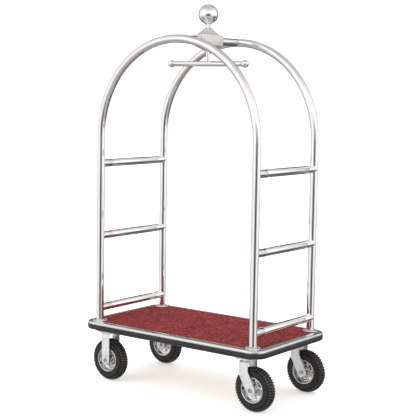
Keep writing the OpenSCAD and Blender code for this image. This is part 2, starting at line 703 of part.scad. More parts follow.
deck_panel();
carpet();
edge_trim();
bumper();
side_members();
cross_members();
deck_screws();
front_arch();
back_arch();
post_flanges();
flange_screws();
left_rails();
right_rails();
rail_sockets();
bridge_tube();
crown_hub();
crown_roof();
crown_funnel();
crown_tie_rod();
finial_neck();
finial_ball();
hanger_rod();
hanger_bar();
hanger_knobs();
fixed_plates();
swivel_plates();
caster_bolts();
fixed_fork_front();
fixed_fork_back();
swivel_fork_front();
swivel_fork_back();
kingpin_front();
kingpin_back();
swivel_balls_front();
swivel_balls_back();
axle_front_left();
axle_back_left();
axle_front_right();
axle_back_right();
tyre_front_left();
tyre_back_left();
tyre_front_right();
tyre_back_right();
inner_tube_front_left();
inner_tube_back_left();
inner_tube_front_right();
inner_tube_back_right();
rim_front_left();
rim_back_left();
rim_front_right();
rim_back_right();
rim_bolts_front_left();
rim_bolts_back_left();
rim_bolts_front_right();
rim_bolts_back_right();
bearings_front_left();
bearings_back_left();
bearings_front_right();
bearings_back_right();
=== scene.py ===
import math

import bmesh
import bpy
from mathutils import Matrix, Vector, noise
from mathutils.geometry import interpolate_bezier


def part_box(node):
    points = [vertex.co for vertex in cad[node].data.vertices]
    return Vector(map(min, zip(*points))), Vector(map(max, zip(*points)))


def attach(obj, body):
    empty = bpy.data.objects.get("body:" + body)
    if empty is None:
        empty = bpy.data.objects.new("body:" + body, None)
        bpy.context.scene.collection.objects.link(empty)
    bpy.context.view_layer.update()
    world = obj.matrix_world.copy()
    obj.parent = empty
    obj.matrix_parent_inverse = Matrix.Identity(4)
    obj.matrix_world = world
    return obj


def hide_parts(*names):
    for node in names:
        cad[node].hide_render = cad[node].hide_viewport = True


MM = 0.001
TURN = math.tau
SHARP = 35.0  # degrees: edges that fold more than this stay crisp

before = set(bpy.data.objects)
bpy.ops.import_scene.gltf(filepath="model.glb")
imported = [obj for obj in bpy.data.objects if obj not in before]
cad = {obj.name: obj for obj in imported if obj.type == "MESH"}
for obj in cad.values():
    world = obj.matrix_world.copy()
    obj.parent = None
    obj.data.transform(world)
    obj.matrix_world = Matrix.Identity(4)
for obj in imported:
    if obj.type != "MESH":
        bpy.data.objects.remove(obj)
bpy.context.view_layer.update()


# ---- Places read from the frame ----

def middle(node):
    """The middle of a CAD node's box."""
    low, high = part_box(node)
    return (low + high) / 2


WHEELS = {
    "front_left": dict(body="wheel_front_left", carrier="chassis", outward=-1, roll=-27),
    "back_left": dict(body="wheel_back_left", carrier="chassis", outward=1, roll=0),
    "front_right": dict(body="wheel_front_right", carrier="swivel_front", outward=-1, roll=0),
    "back_right": dict(body="wheel_back_right", carrier="swivel_back", outward=1, roll=0),
}

carpet_low, carpet_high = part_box("carpet")
DECK_X = middle("carpet").x
DECK_TOP = carpet_high.z
DECK_L = carpet_high.x - carpet_low.x
DECK_W = carpet_high.y - carpet_low.y
DECK_CORNER = 40 * MM
TUBE_R = 19 * MM
arch_low, arch_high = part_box("front_arch")
POST_X = [arch_low.x + TUBE_R, arch_high.x - TUBE_R]
POST_Y = [middle("front_arch").y, middle("back_arch").y]
POSTS = [(x, y) for x in POST_X for y in POST_Y]


# ---- Shaping tools ----

def smooth_line(points, steps=4):
    """Points along a smooth curve that passes through the given ones."""
    ends = [points[0], *points, points[-1]]
    line = [Vector(points[0])]
    for before, start, end, after in zip(ends, ends[1:], ends[2:], ends[3:]):
        before, start, end, after = (Vector((*p[:2], 0)) for p in (before, start, end, after))
        leave, arrive = start + (end - before) / 6, end - (after - start) / 6
        line += interpolate_bezier(start, leave, arrive, end, steps + 1)[1:]
    return [(p[0], p[1]) for p in line]


def draw(bm, points, closed):
    """Draws a chain of edges through the points and returns it."""
    corners = [bm.verts.new(p) for p in points]
    chain = [bm.edges.new(pair) for pair in zip(corners, corners[1:])]
    if closed:
        chain.append(bm.edges.new((corners[-1], corners[0])))
    return corners + chain


def lathe(profile, steps=96, closed=True):
    """Turns a profile of (radius, height) in millimetres round Z."""
    bm = bmesh.new()
    chain = draw(bm, [(r * MM, 0, h * MM) for r, h in profile], closed)
    bmesh.ops.spin(bm, geom=chain, cent=(0, 0, 0), axis=(0, 0, 1), angle=TURN,
                   steps=steps, use_merge=True, use_duplicate=False)
    tidy(bm)
    return bm


def tidy(bm):
    """Closes seams and poles and points the faces outwards."""
    bmesh.ops.remove_doubles(bm, verts=bm.verts, dist=2e-6)
    bmesh.ops.dissolve_degenerate(bm, edges=bm.edges, dist=1e-7)
    bmesh.ops.recalc_face_normals(bm, faces=bm.faces)


def move(bm, place):
    bmesh.ops.translate(bm, verts=bm.verts, vec=place)


def turn(bm, degrees, axis):
    bmesh.ops.rotate(bm, verts=bm.verts, cent=(0, 0, 0),
                     matrix=Matrix.Rotation(math.radians(degrees), 3, axis))


def soften(bm, edges, width, segments=2):
    """Rounds the edges over."""
    bmesh.ops.bevel(bm, geom=edges, offset=width * MM, offset_type="OFFSET", segments=segments,
                    profile=0.5, affect="EDGES", clamp_overlap=True, material=-1)


def crisp_edges(bm, degrees=SHARP):
    limit = math.radians(degrees)
    return [e for e in bm.edges if len(e.link_faces) == 2 and e.calc_face_angle(0) > limit]


def merge_into(target, other):
    """Adds the mesh of one bmesh to another."""
    spare = bpy.data.meshes.new("spare")
    other.to_mesh(spare)
    other.free()
    target.from_mesh(spare)
    bpy.data.meshes.remove(spare)


def piece(name, bm, body, slot, stands_for, sharp=SHARP):
    """Makes a shown piece of bm that rides on a body in place of CAD nodes."""
    mesh = bpy.data.meshes.new(name)
    bm.to_mesh(mesh)
    bm.free()
    mesh.polygons.foreach_set("use_smooth", [True] * len(mesh.polygons))
    mesh.set_sharp_from_angle(angle=math.radians(sharp))
    mesh.materials.append(FINISHES[slot])
    shown = bpy.data.objects.new(name, mesh)
    bpy.context.scene.collection.objects.link(shown)
    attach(shown, body)
    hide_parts(*stands_for)
    return shown


def eased_copy(node, name, body, slot, width, broad=0, is_broad=None):
    """A copy of a CAD node whose sharp edges are rounded over, some of them more broadly."""
    bm = bmesh.new()
    bm.from_mesh(cad[node].data)
    bmesh.ops.remove_doubles(bm, verts=bm.verts, dist=1e-5)
    bmesh.ops.dissolve_degenerate(bm, edges=bm.edges, dist=1e-6)
    bmesh.ops.dissolve_limit(bm, angle_limit=math.radians(0.5), verts=bm.verts, edges=bm.edges)
    if is_broad:
        soften(bm, [e for e in crisp_edges(bm) if is_broad(e)], broad, 4)
    soften(bm, crisp_edges(bm), width)
    return piece(name, bm, body, slot, [node])


# ---- Finishes ----

# Where a Mix node keeps its sockets when it mixes colours
MIX_SHARE, MIX_FIRST, MIX_SECOND, MIX_RESULT = 0, 6, 7, 2


class Finish:
    """A material with short ways to add the nodes of its pattern."""

    def __init__(self, name, metallic, roughness):
        self.material = bpy.data.materials.new(name)
        self.material.use_nodes = True
        self.tree = self.material.node_tree
        self.shader = self.tree.nodes["Principled BSDF"]
        self.shader.inputs["Metallic"].default_value = metallic
        self.shader.inputs["Roughness"].default_value = roughness
        self.place = self.add("ShaderNodeTexCoord").outputs["Object"]

    def add(self, kind, **settings):
        node = self.tree.nodes.new(kind)
        for name, value in settings.items():
            setattr(node, name, value)
        return node

    def join(self, output, node, socket):
        self.tree.links.new(output, node.inputs[socket])

    def stretched(self, scale):
        """The place on the piece, stretched along its axes."""
        mapping = self.add("ShaderNodeMapping")
        mapping.inputs["Scale"].default_value = scale
        self.join(self.place, mapping, "Vector")
        return mapping.outputs["Vector"]

    def noise(self, scale, detail=3, roughness=0.55, place=None):
        node = self.add("ShaderNodeTexNoise")
        node.inputs["Scale"].default_value = scale
        node.inputs["Detail"].default_value = detail
        node.inputs["Roughness"].default_value = roughness
        self.join(place or self.place, node, "Vector")
        return node.outputs["Fac"]

    def cells(self, scale, output="Color"):
        node = self.add("ShaderNodeTexVoronoi")
        node.inputs["Scale"].default_value = scale
        self.join(self.place, node, "Vector")
        return node.outputs[output]

    def range(self, value, low, high, start=0.3, end=0.7):
        """Spreads a pattern's value from low to high."""
        node = self.add("ShaderNodeMapRange")
        for socket, number in (("From Min", start), ("From Max", end),
                               ("To Min", low), ("To Max", high)):
            node.inputs[socket].default_value = number
        self.join(value, node, "Value")
        return node.outputs["Result"]

    def colours(self, value, *stops):
        """Colours along a pattern's value: each stop is (value, colour)."""
        node = self.add("ShaderNodeValToRGB")
        ramp = node.color_ramp.elements
        while len(ramp) < len(stops):
            ramp.new(1)
        for step, (at, colour) in zip(ramp, stops):
            step.position = at
            step.color = (*colour, 1)
        self.join(value, node, "Fac")
        return node.outputs["Color"]

    def blend(self, share, first, second, mode="MIX"):
        """Mixes two colours by a share, which is a number or a pattern."""
        node = self.add("ShaderNodeMix", data_type="RGBA", blend_type=mode)
        for output, at in ((share, MIX_SHARE), (first, MIX_FIRST), (second, MIX_SECOND)):
            if isinstance(output, (float, int)):
                node.inputs[at].default_value = output
            else:
                self.tree.links.new(output, node.inputs[at])
        return node.outputs[MIX_RESULT]

    def colour(self, output):
        self.join(output, self.shader, "Base Color")

    def gloss(self, output):
        self.join(output, self.shader, "Roughness")

    def relief(self, height, strength, depth):
        """Raises the surface by the pattern, at most depth millimetres."""
        node = self.add("ShaderNodeBump")
        node.inputs["Strength"].default_value = strength
        node.inputs["Distance"].default_value = depth * MM
        self.join(height, node, "Height")
        self.join(node.outputs["Normal"], self.shader, "Normal")


def grey(level, warmth=0.0):
    """A grey, redder and less blue by its warmth."""
    return (level + warmth, level, level - warmth)


def polished_steel(name, low, high, smooth, rough, brush):
    """Bright metal with faint polishing marks along one axis and fine handling haze."""
    finish = Finish(name, 1, smooth)
    marks = finish.noise(60, 4, place=finish.stretched(brush))
    haze = finish.noise(7, 2)
    finish.colour(finish.colours(haze, (0.3, grey(low, 0.008)), (0.7, grey(high, 0.004))))
    finish.gloss(finish.range(marks, smooth, rough))
    finish.relief(marks, 0.012, 0.05)
    return finish.material


def satin_casting():
    """Cast metal, bead blasted and lacquered."""
    finish = Finish("satin_casting", 0.75, 0.4)
    grain = finish.noise(900, 2)
    cloud = finish.noise(18, 3)
    finish.colour(finish.colours(cloud, (0.3, grey(0.60, 0.004)), (0.7, grey(0.70, 0.004))))
    finish.gloss(finish.range(cloud, 0.34, 0.46))
    finish.relief(grain, 0.15, 0.15)
    return finish.material


def zinc_sheet():
    """Galvanised plate with small spangles."""
    finish = Finish("zinc_sheet", 0.7, 0.4)
    spangle = finish.cells(260)
    cloud = finish.noise(35, 4)
    tone = finish.colours(cloud, (0.3, (0.65, 0.68, 0.68)), (0.7, (0.82, 0.84, 0.835)))
    finish.colour(finish.blend(0.10, tone, spangle, "OVERLAY"))
    finish.gloss(finish.range(cloud, 0.32, 0.5))
    finish.relief(finish.noise(420, 3), 0.12, 0.2)
    return finish.material


def fastener_zinc(name, level, rough):
    """Plated or bare steel of the screws, bolts and bearings."""
    finish = Finish(name, 1, rough)
    tint = finish.noise(120, 3)
    finish.colour(finish.colours(tint, (0.3, grey(level * 0.8)), (0.7, grey(level, 0.01))))
    finish.gloss(finish.range(tint, rough * 0.8, rough * 1.3))
    finish.relief(finish.noise(900, 2), 0.1, 0.08)
    return finish.material


def moulded_rubber(name, dark, dusty, rough, shine):
    """Black rubber with a dusty bloom in places."""
    finish = Finish(name, 0, rough)
    finish.shader.inputs["Specular IOR Level"].default_value = shine
    bloom = finish.noise(28, 5)
    grain = finish.noise(1100, 2)
    finish.colour(finish.colours(bloom, (0.32, grey(dark)), (0.75, grey(dusty, 0.001))))
    finish.gloss(finish.range(bloom, rough - 0.1, rough + 0.12))
    finish.relief(grain, 0.25, 0.15)
    return finish.material


def tyre_rubber():
    """Black rubber, greyer on the tops of the tread blocks: partly dust and wear, partly a painted
    highlight.
    """
    finish = Finish("tyre_rubber", 0, 0.5)
    finish.shader.inputs["Specular IOR Level"].default_value = 0.4
    wear_and_highlight = finish.add("ShaderNodeAttribute", attribute_name="wear_and_highlight").outputs["Fac"]
    bloom = finish.noise(28, 5)
    dark = finish.colours(bloom, (0.32, grey(0.007)), (0.75, grey(0.014, 0.001)))
    # Grey of the block tops: partly dust, partly a painted highlight that fades down the block
    # walls to the black grooves.
    dusty = finish.colours(bloom, (0.32, grey(0.05)), (0.75, grey(0.09, 0.002)))
    finish.colour(finish.blend(wear_and_highlight, dark, dusty))
    finish.gloss(finish.range(bloom, 0.42, 0.6))
    finish.relief(finish.noise(1100, 2), 0.25, 0.15)
    return finish.material


def cut_pile():
    """Red cut pile, each tuft a slightly different shade."""
    finish = Finish("cut_pile", 0, 0.92)
    finish.shader.inputs["Sheen Weight"].default_value = 0.03
    finish.shader.inputs["Sheen Roughness"].default_value = 0.5
    finish.shader.inputs["Specular IOR Level"].default_value = 0.05
    tufts = finish.cells(330, "Distance")
    mottle = finish.noise(125, 4, 0.75)
    wear = finish.noise(9, 3)
    fleck = finish.colours(mottle, (0.40, (0.045, 0.005, 0.007)), (0.49, (0.23, 0.022, 0.024)),
                           (0.60, (0.44, 0.075, 0.075)))
    wear_and_highlight = finish.colours(wear, (0.3, (0.78, 0.78, 0.78)), (0.7, (1.0, 1.0, 1.0)))
    finish.colour(finish.blend(1.0, fleck, wear_and_highlight, "MULTIPLY"))
    finish.gloss(finish.range(mottle, 0.85, 1.0))
    finish.relief(tufts, 0.8, 1.6)
    return finish.material


def birch_ply():
    """Plywood: grain along the deck and plies down its edge."""
    finish = Finish("birch_ply", 0, 0.6)
    grain = finish.noise(14, 6, 0.6, finish.stretched((1.0, 14.0, 90.0)))
    finish.colour(finish.colours(grain, (0.3, (0.30, 0.17, 0.08)), (0.7, (0.56, 0.38, 0.20))))
    finish.gloss(finish.range(grain, 0.5, 0.7))
    finish.relief(grain, 0.2, 0.3)
    return finish.material


def black_paint():
    """Powder coat with a fine orange peel."""
    finish = Finish("black_paint", 0, 0.4)
    peel = finish.noise(420, 2)
    dust = finish.noise(20, 4)
    finish.colour(finish.colours(dust, (0.35, grey(0.022)), (0.75, grey(0.055, 0.004))))
    finish.gloss(finish.range(dust, 0.32, 0.5))
    finish.relief(peel, 0.2, 0.15)
    return finish.material


FINISHES = {
    "polished_tube": polished_steel("polished_tube", 0.80, 0.88, 0.03, 0.07, (1.0, 1.0, 0.05)),
    "rail_tube": polished_steel("rail_tube", 0.80, 0.88, 0.04, 0.08, (1.0, 0.05, 1.0)),
    "satin_casting": satin_casting(),
    "mirror_chrome": polished_steel("mirror_chrome", 0.84, 0.90, 0.02, 0.045, (1.0, 1.0, 1.0)),
    "nosing_metal": polished_steel("nosing_metal", 0.66, 0.76, 0.22, 0.34, (0.05, 0.05, 1.0)),
    "screw_steel": fastener_zinc("screw_steel", 0.85, 0.16),
    "bumper_rubber": moulded_rubber("bumper_rubber", 0.012, 0.026, 0.24, 0.5),
    "carpet_pile": cut_pile(),
    "deck_board": birch_ply(),
    "painted_steel": black_paint(),
    "zinc_plate": zinc_sheet(),
    "zinc_bolt": fastener_zinc("zinc_bolt", 0.55, 0.35),
    "bearing_steel": fastener_zinc("bearing_steel", 0.62, 0.2),
    "tyre_rubber": tyre_rubber(),
    "tube_rubber": moulded_rubber("tube_rubber", 0.010, 0.016, 0.5, 0.3),
    "rim_chrome": polished_steel("rim_chrome", 0.62, 0.76, 0.14, 0.24, (1.0, 1.0, 1.0)),
}


def dress_cad_nodes():
    """Every CAD node takes the finish that its own material is named for."""
    for node in cad.values():
        for holder in node.material_slots:
            holder.material = FINISHES[holder.material.name.split(".")[0]]


# ---- Deck ----

def inside_edge(place):
    """How far a place lies inside the deck's outline."""
    past_x = abs(place.x - DECK_X) - (DECK_L / 2 - DECK_CORNER)
    past_y = abs(place.y) - (DECK_W / 2 - DECK_CORNER)
    out = math.hypot(max(past_x, 0), max(past_y, 0)) + min(max(past_x, past_y), 0)
    return DECK_CORNER - out


PILE_CELL = 4 * MM
PILE_THICK = 5.4 * MM
CLAMPED_EDGE = 6 * MM
CLAMPED_DROP = 1.1
TUFT_DROP = 0.5
TUFT_SWING = 0.45
TUFT_GRAIN = 420  # turns of the tufts' pattern in a metre
TRODDEN_GRAIN = 90  # turns of the broader, trodden pattern in a metre


def carpet():
    """The pile, cut to the CAD carpet's outline and clamped down along its edge."""
    bm = bmesh.new()
    bm.from_mesh(cad["carpet"].data)
    bmesh.ops.remove_doubles(bm, verts=bm.verts, dist=1e-6)
    under = [f for f in bm.faces if f.normal.z < 0.9]
    bmesh.ops.delete(bm, geom=under, context="FACES")
    bmesh.ops.dissolve_limit(bm, angle_limit=0.01, verts=bm.verts, edges=bm.edges)
    for axis, low, high in (((1, 0, 0), carpet_low.x, carpet_high.x),
                            ((0, 1, 0), carpet_low.y, carpet_high.y)):
        cuts = round((high - low) / PILE_CELL)
        for cut in range(1, cuts):
            bmesh.ops.bisect_plane(bm, geom=bm.verts[:] + bm.edges[:] + bm.faces[:], dist=1e-6,
                                   plane_co=Vector(axis) * (low + (high - low) * cut / cuts),
                                   plane_no=axis)
    move(bm, (0, 0, -PILE_THICK))
    bmesh.ops.recalc_face_normals(bm, faces=bm.faces)
    lifted = bmesh.ops.extrude_face_region(bm, geom=bm.faces[:], use_keep_orig=True)["geom"]
    for v in (g for g in lifted if isinstance(g, bmesh.types.BMVert)):
        tuft = noise.noise(v.co * TUFT_GRAIN) + 0.6 * noise.noise(v.co * TRODDEN_GRAIN)
        clamped = inside_edge(v.co) < CLAMPED_EDGE
        v.co.z += PILE_THICK - (CLAMPED_DROP if clamped else TUFT_DROP - TUFT_SWING * tuft) * MM
    tidy(bm)
    sheet = piece("carpet_sheet", bm, "chassis", "carpet_pile", ["carpet"], sharp=80)


def round_the_deck(profile):
    """Sweeps a closed profile of (out, height) in millimetres round the deck's edge."""
    bm = bmesh.new()
    run_x, run_y = DECK_L / 2 - DECK_CORNER, DECK_W / 2 - DECK_CORNER
    edge_y = DECK_W / 2
    chain = draw(bm, [(-run_x, -edge_y - out * MM, z * MM) for out, z in profile], True)
    legs = [((2 * run_x, 0, 0), (run_x, -run_y, 0)), ((0, 2 * run_y, 0), (run_x, run_y, 0)),
            ((-2 * run_x, 0, 0), (-run_x, run_y, 0)), ((0, -2 * run_y, 0), (-run_x, -run_y, 0))]
    for along, corner in legs:
        edges = [g for g in chain if isinstance(g, bmesh.types.BMEdge)]
        run = bmesh.ops.extrude_edge_only(bm, edges=edges)["geom"]
        ends = [g for g in run if isinstance(g, bmesh.types.BMVert)]
        bmesh.ops.translate(bm, verts=ends, vec=along)
        last = ends + [g for g in run if isinstance(g, bmesh.types.BMEdge)
                       and all(v in ends for v in g.verts)]
        chain = bmesh.ops.spin(bm, geom=last, cent=corner, axis=(0, 0, 1), angle=TURN / 4,
                               steps=16, use_duplicate=False)["geom_last"]
    tidy(bm)
    move(bm, (DECK_X, 0, 0))
    return bm


def nosing():
    """Bright edge that clamps the carpet, with the web that carries the bumper."""
    top = DECK_TOP / MM
    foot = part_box("edge_trim")[0].z / MM
    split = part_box("bumper")[1].z / MM + 0.3
    rise = top - split
    crown = smooth_line([(24.4, split + 0.3), (25, split + 0.14 * rise),
                         (24.9, split + 0.5 * rise), (23.4, split + 0.76 * rise),
                         (19.4, split + 0.94 * rise), (13, top),
                         (-3.4, top + 0.1), (-5, top - 0.4)])
    ring = [(0, foot), (3, foot), (3, split)] + crown + [(-5, top - 1), (0, top - 1)]
    piece("deck_nosing", round_the_deck(ring), "chassis", "nosing_metal", ["edge_trim"])


def bumper():
    """Rubber round the deck, with two grooves between its ribs."""
    low, high = (c.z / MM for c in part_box("bumper"))
    rise = high - low
    ribs = [(14, 0), (19.5, 0.03), (23.2, 0.12), (25.4, 0.24), (25.5, 0.32), (23.6, 0.37),
            (25.2, 0.42), (26.8, 0.52), (27, 0.62), (26.6, 0.72), (24.6, 0.78), (26.2, 0.83),
            (26.4, 0.92), (25.2, 1)]
    face = smooth_line([(out, low + share * rise) for out, share in ribs], 3)
    ring = [(3.3, low)] + face + [(3.3, high)]
    piece("deck_bumper", round_the_deck(ring), "chassis", "bumper_rubber", ["bumper"], sharp=50)


def post_flanges():
    """A round flange with a collar at the foot of each post."""
    flanges = bmesh.new()
    for x, y in POSTS:
        profile = [(19.3, 0), (36, 0), (36, 2.6)] + smooth_line(
            [(35.6, 3.4), (34.4, 4), (27, 4.1), (24.4, 4.6), (22.2, 6.8), (20.9, 7.9),
             (19.3, 8)], 3)
        flange = lathe(profile, 64)
        move(flange, (x, y, DECK_TOP))
        merge_into(flanges, flange)
    piece("post_foot_flanges", flanges, "chassis", "nosing_metal", ["post_flanges"])


# ---- Crown, finial and hanging bar ----

def crown_block():
    """The block that the bridge tube runs through, its outer edges well rounded."""
    axis = middle("bridge_tube")
    bore = TUBE_R + 2 * MM

    def outside_bore(edge):
        return all(math.hypot(v.co.x - axis.x, v.co.z - axis.z) > bore for v in edge.verts)

    eased_copy("crown_hub", "crown_block", "chassis", "satin_casting", 0.6, 6, outside_bore)


def four_sided(half_sizes, corner=2.5):
    """A solid through level rectangles: each is (half x, half y, height) in millimetres."""
    bm = bmesh.new()
    start_x, start_y, start_z = half_sizes[0]
    outline = []
    for quarter in range(4):
        side_x, side_y = ((1, 1), (-1, 1), (-1, -1), (1, -1))[quarter]
        for step in range(5):
            at = math.radians(90 * quarter + 22.5 * step)
            outline.append(((side_x * (start_x - corner) + corner * math.cos(at)) * MM,
                            (side_y * (start_y - corner) + corner * math.sin(at)) * MM,
                            start_z * MM))
    ring = [g for g in draw(bm, outline, True) if isinstance(g, bmesh.types.BMEdge)]
    bmesh.ops.contextual_create(bm, geom=ring)
    for (x0, y0, z0), (x1, y1, z1) in zip(half_sizes, half_sizes[1:]):
        grown = bmesh.ops.extrude_edge_only(bm, edges=ring)["geom"]
        ends = [g for g in grown if isinstance(g, bmesh.types.BMVert)]
        ring = [g for g in grown if isinstance(g, bmesh.types.BMEdge)
                and all(v in ends for v in g.verts)]
        bmesh.ops.scale(bm, verts=ends, vec=(x1 / x0, y1 / y0, 1))
        bmesh.ops.translate(bm, verts=ends, vec=(0, 0, (z1 - z0) * MM))
    bmesh.ops.contextual_create(bm, geom=ring)
    tidy(bm)
    return bm


def flared(foot, head, rise, power, steps=16):
    """Half sizes from foot to head that change fast near the foot."""
    sizes = []
    for step in range(steps + 1):
        up = step / steps
        share = (1 - up) ** power
        sizes.append((head[0] + (foot[0] - head[0]) * share,
                      head[1] + (foot[1] - head[1]) * share, rise * up))
    return sizes


def flared_cap(name, node, head, lip, hangs=False):
    """A concave four-sided cap with a rounded lip; it stands up, or hangs down."""
    low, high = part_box(node)
    half = (high - low) / 2 / MM
    edge = [(half.x - lip, half.y - lip, 0), (half.x, half.y, lip)]
    slope = flared((half.x, half.y), head, 2 * half.z - 2 * lip, 1.45)
    cap = four_sided(edge + [(x, y, z + 2 * lip) for x, y, z in slope])
    if hangs:
        turn(cap, 180, "X")
    move(cap, (middle(node).x, 0, high.z if hangs else low.z))
    piece(name, cap, "chassis", "satin_casting", [node])


def finial_neck():
    """The waisted neck under the ball."""
    low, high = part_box("finial_neck")
    outline = smooth_line([(22, 0.4), (21.6, 1.8), (17, 3.2), (12.4, 5.4), (9.2, 8.2), (7.7, 11.6),
                           (8, 14.8), (9.8, 18), (12.8, 21.4), (15.2, 24.2), (15.6, 26.6)])
    neck = lathe([(6.4, 0)] + outline + [(6.4, 26.6)], 72)
    move(neck, (middle("finial_neck").x, 0, low.z))
    piece("waisted_neck", neck, "chassis", "mirror_chrome", ["finial_neck"])


def bar_knobs():
    """A ball with a stepped ferrule on each end of the hanging bar."""
    low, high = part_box("hanger_knobs")
    knob_r = (high.z - low.z) / 2 / MM
    bar_end = (high.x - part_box("hanger_bar")[1].x) / MM
    ball_at = bar_end - knob_r
    neck_r = 10
    start = math.degrees(math.asin(neck_r / knob_r))
    ball = [(knob_r * math.sin(math.radians(a)), ball_at - knob_r * math.cos(math.radians(a)))
            for a in [start + (180 - start) * i / 28 for i in range(29)]]
    ferrule = smooth_line([(10.8, -14), (10.8, 0.3), (12.3, 0.5), (12.6, 1.2), (12.2, 2),
                           (10.4, 2.4), (9.8, 3)], 2)
    knobs = bmesh.new()
    for side in (-1, 1):
        knob = lathe([(0, -14)] + ferrule + ball[2:], 64, closed=False)
        turn(knob, 90 * side, "Y")
        x = high.x - bar_end * MM if side > 0 else low.x + bar_end * MM
        move(knob, (x, 0, middle("hanger_knobs").z))
        merge_into(knobs, knob)
    piece("bar_end_knobs", knobs, "chassis", "mirror_chrome", ["hanger_knobs"])


# ---- Casters ----

TYRE_R = 105
SECTION_R = 29.75
SECTION_MID = TYRE_R - SECTION_R
TYRE_HALF_W = 29
BEAD = 118  # degrees from the crown to the bead on the rim
TYRE_WALL = 6
BLOCKS = 46
BLOCK_SHARE = 0.47
TREAD_DEPTH = 5.4
# Each band of blocks: its edges in degrees from the crown
TREAD_BANDS = [(1, 7), (10, 27), (31, 64)]
SHOULDER = 9  # degrees past the last band where the carcass comes up to full size
TREAD_FOOT_R = TYRE_R - 18
OUTWARD = 0.2  # faces of the tread lean out from the axle by at least this much


def tyre_section(angle, across, wide):
    """A point of the tyre's section at an angle from its crown: (radius, offset)."""
    c, s = math.cos(math.radians(angle)), math.sin(math.radians(angle))
    return (SECTION_MID + across * math.copysign(abs(c) ** 0.8, c),
            wide * math.copysign(abs(s) ** 0.8, s))


def sunk(angle):
    """How far the tread's floor lies under the tops of its blocks."""
    past = min(max((abs(angle) - TREAD_BANDS[-1][1]) / SHOULDER, 0), 1)
    return TREAD_DEPTH * (1 - past * past * (3 - 2 * past))


def tyre_profile():
    """The tyre's closed section without its blocks: (radius, offset) all round."""
    tread = [a for band in TREAD_BANDS for a in band]
    wall = [67, 70, 72, 75, 80, 84, 87, 90, 94, 98, 102, 106, 109, 112, 115, BEAD]
    ribs = {72: 0.7, 84: 0.5, 87: 0.5, 106: 0.9, 109: 0.9}
    half = [(a, ribs.get(a, 0) - sunk(a)) for a in tread + wall]
    whole = [(-a, lift) for a, lift in reversed(half)] + half
    outer = [tyre_section(a, SECTION_R + lift, TYRE_HALF_W + lift) for a, lift in whole]
    inner = [tyre_section(BEAD - a, SECTION_R - TYRE_WALL, TYRE_HALF_W - TYRE_WALL)
             for a in range(0, 2 * BEAD + 1, 16)]
    return outer + inner


def on_tread(place):
    """Whether a place on the carcass lies in a band of blocks."""
    if math.hypot(place.x, place.y) / MM < TREAD_FOOT_R:
        return False
    out = abs(place.z) / MM
    for band in TREAD_BANDS:
        low, high = (tyre_section(a, SECTION_R - TREAD_DEPTH, TYRE_HALF_W - TREAD_DEPTH)[1]
                     for a in band)
        if low < out < high:
            return True
    return False


def tyre(name, wheel):
    """A pneumatic tyre with rows of tread blocks raised from its carcass.

    The tops of the blocks carry a mask for the rubber's finish, which paints them greyer: partly
    dust and wear, partly a painted highlight.
    """
    bm = bmesh.new()
    chain = draw(bm, [(r * MM, 0, h * MM) for r, h in tyre_profile()], True)
    pitch = TURN / BLOCKS
    for _ in range(BLOCKS):
        for share in (BLOCK_SHARE, 1 - BLOCK_SHARE):
            chain = bmesh.ops.spin(bm, geom=chain, cent=(0, 0, 0), axis=(0, 0, 1),
                                   angle=pitch * share, steps=1,
                                   use_duplicate=False)["geom_last"]
    bmesh.ops.remove_doubles(bm, verts=bm.verts, dist=3e-5)  # the last step meets the first
    tidy(bm)
    blocks = []
    for face in bm.faces:
        centre = face.calc_center_median()
        leans_out = face.normal.dot(Vector((centre.x, centre.y, 0)).normalized()) >= OUTWARD
        along = (math.atan2(centre.y, centre.x) / pitch) % 1
        if leans_out and on_tread(centre) and along < BLOCK_SHARE:
            blocks.append(face)
    bmesh.ops.inset_individual(bm, faces=blocks, thickness=0.3 * MM, depth=0,
                               use_even_offset=True)
    # Mask of the block tops: the rubber's finish paints them greyer, partly as dust and wear,
    # partly as a painted highlight.
    wear_and_highlight = bm.verts.layers.float.new("wear_and_highlight")
    bmesh.ops.inset_individual(bm, faces=blocks, thickness=0.25 * MM,
                               depth=(TREAD_DEPTH - 0.2) * MM, use_even_offset=True)
    for face in blocks:
        for v in face.verts:
            v[wear_and_highlight] = 1
    place_on_wheel(bm, wheel)
    piece(f"tyre_{name}_treaded", bm, wheel["body"], "tyre_rubber", [f"tyre_{name}"], sharp=28)


def place_on_wheel(bm, wheel):
    """Stands a part turned round Z up on its wheel, with its top side outwards."""
    turn(bm, 90, "X")
    if wheel["outward"] > 0:
        bmesh.ops.scale(bm, verts=bm.verts, vec=(1, -1, 1))
        bmesh.ops.reverse_faces(bm, faces=bm.faces)
    turn(bm, wheel["roll"], "Y")
    move(bm, wheel["centre"])


LOBES = 4
LOBE_RISE = 7.5
LOBE_IN, LOBE_OUT = 21, 52


